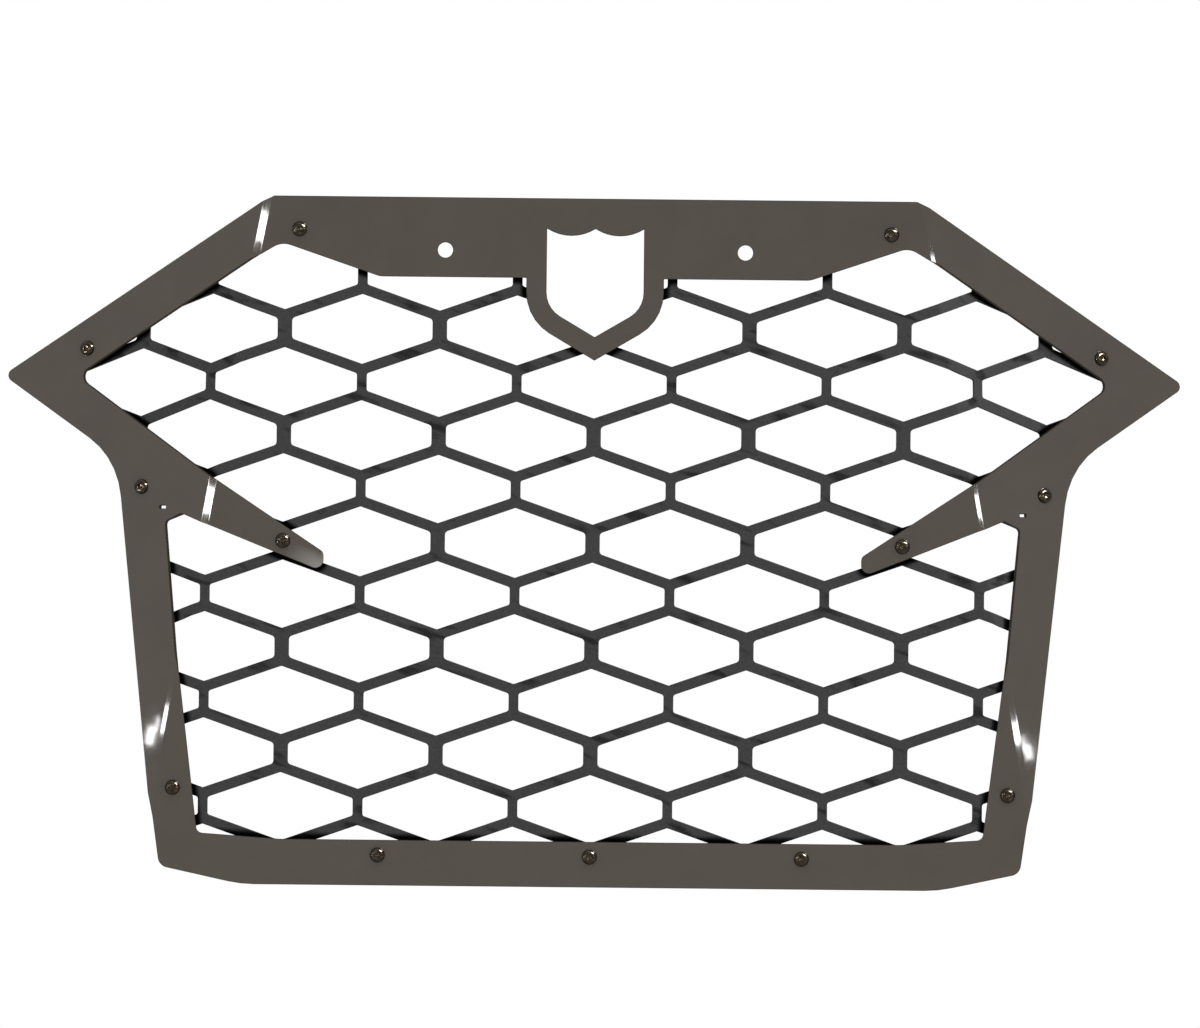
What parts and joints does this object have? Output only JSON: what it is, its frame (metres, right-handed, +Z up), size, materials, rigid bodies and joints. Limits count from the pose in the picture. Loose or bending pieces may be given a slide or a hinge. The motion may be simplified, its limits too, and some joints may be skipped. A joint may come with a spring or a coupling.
{
  "type": "grille guard",
  "caption": "Angular bent-plate front grille guard with swept-back wings, inward lances, a shield window and a bolted honeycomb mesh plate behind.",
  "frame": {"origin": "midway between the two mounting holes in the top rail, on the rear face of the frame plate", "axes": "+X across the vehicle, +Y back towards the vehicle, so that the front of the guard faces -Y, +Z up"},
  "size_m": [0.7346, 0.0802, 0.4305],
  "materials": {
    "frame_coat": "satin dark bronze-grey powder coat",
    "mesh_coat": "satin charcoal powder coat",
    "black_screw": "black oxide",
    "zinc": "zinc plated",
    "nylon": "natural nylon"
  },
  "bodies": {
    "root": {"outer_frame": "frame_coat", "honeycomb_mesh": "mesh_coat", "screw_top_right": "black_screw", "screw_wing_right": "black_screw", "screw_shoulder_right": "black_screw", "screw_lance_right": "black_screw", "screw_leg_right": "black_screw", "screw_bottom_right": "black_screw", "screw_top_left": "black_screw", "screw_wing_left": "black_screw", "screw_shoulder_left": "black_screw", "screw_lance_left": "black_screw", "screw_leg_left": "black_screw", "screw_bottom_left": "black_screw", "screw_bottom_middle": "black_screw", "washer_top_right": "zinc", "washer_wing_right": "zinc", "washer_shoulder_right": "zinc", "washer_lance_right": "zinc", "washer_leg_right": "zinc", "washer_bottom_right": "zinc", "washer_top_left": "zinc", "washer_wing_left": "zinc", "washer_shoulder_left": "zinc", "washer_lance_left": "zinc", "washer_leg_left": "zinc", "washer_bottom_left": "zinc", "washer_bottom_middle": "zinc", "lock_nut_top_right": "zinc", "lock_nut_wing_right": "zinc", "lock_nut_shoulder_right": "zinc", "lock_nut_lance_right": "zinc", "lock_nut_leg_right": "zinc", "lock_nut_bottom_right": "zinc", "lock_nut_top_left": "zinc", "lock_nut_wing_left": "zinc", "lock_nut_shoulder_left": "zinc", "lock_nut_lance_left": "zinc", "lock_nut_leg_left": "zinc", "lock_nut_bottom_left": "zinc", "lock_nut_bottom_middle": "zinc", "nylon_ring_top_right": "nylon", "nylon_ring_wing_right": "nylon", "nylon_ring_shoulder_right": "nylon", "nylon_ring_lance_right": "nylon", "nylon_ring_leg_right": "nylon", "nylon_ring_bottom_right": "nylon", "nylon_ring_top_left": "nylon", "nylon_ring_wing_left": "nylon", "nylon_ring_shoulder_left": "nylon", "nylon_ring_lance_left": "nylon", "nylon_ring_leg_left": "nylon", "nylon_ring_bottom_left": "nylon", "nylon_ring_bottom_middle": "nylon"}
  },
  "joints": []
}
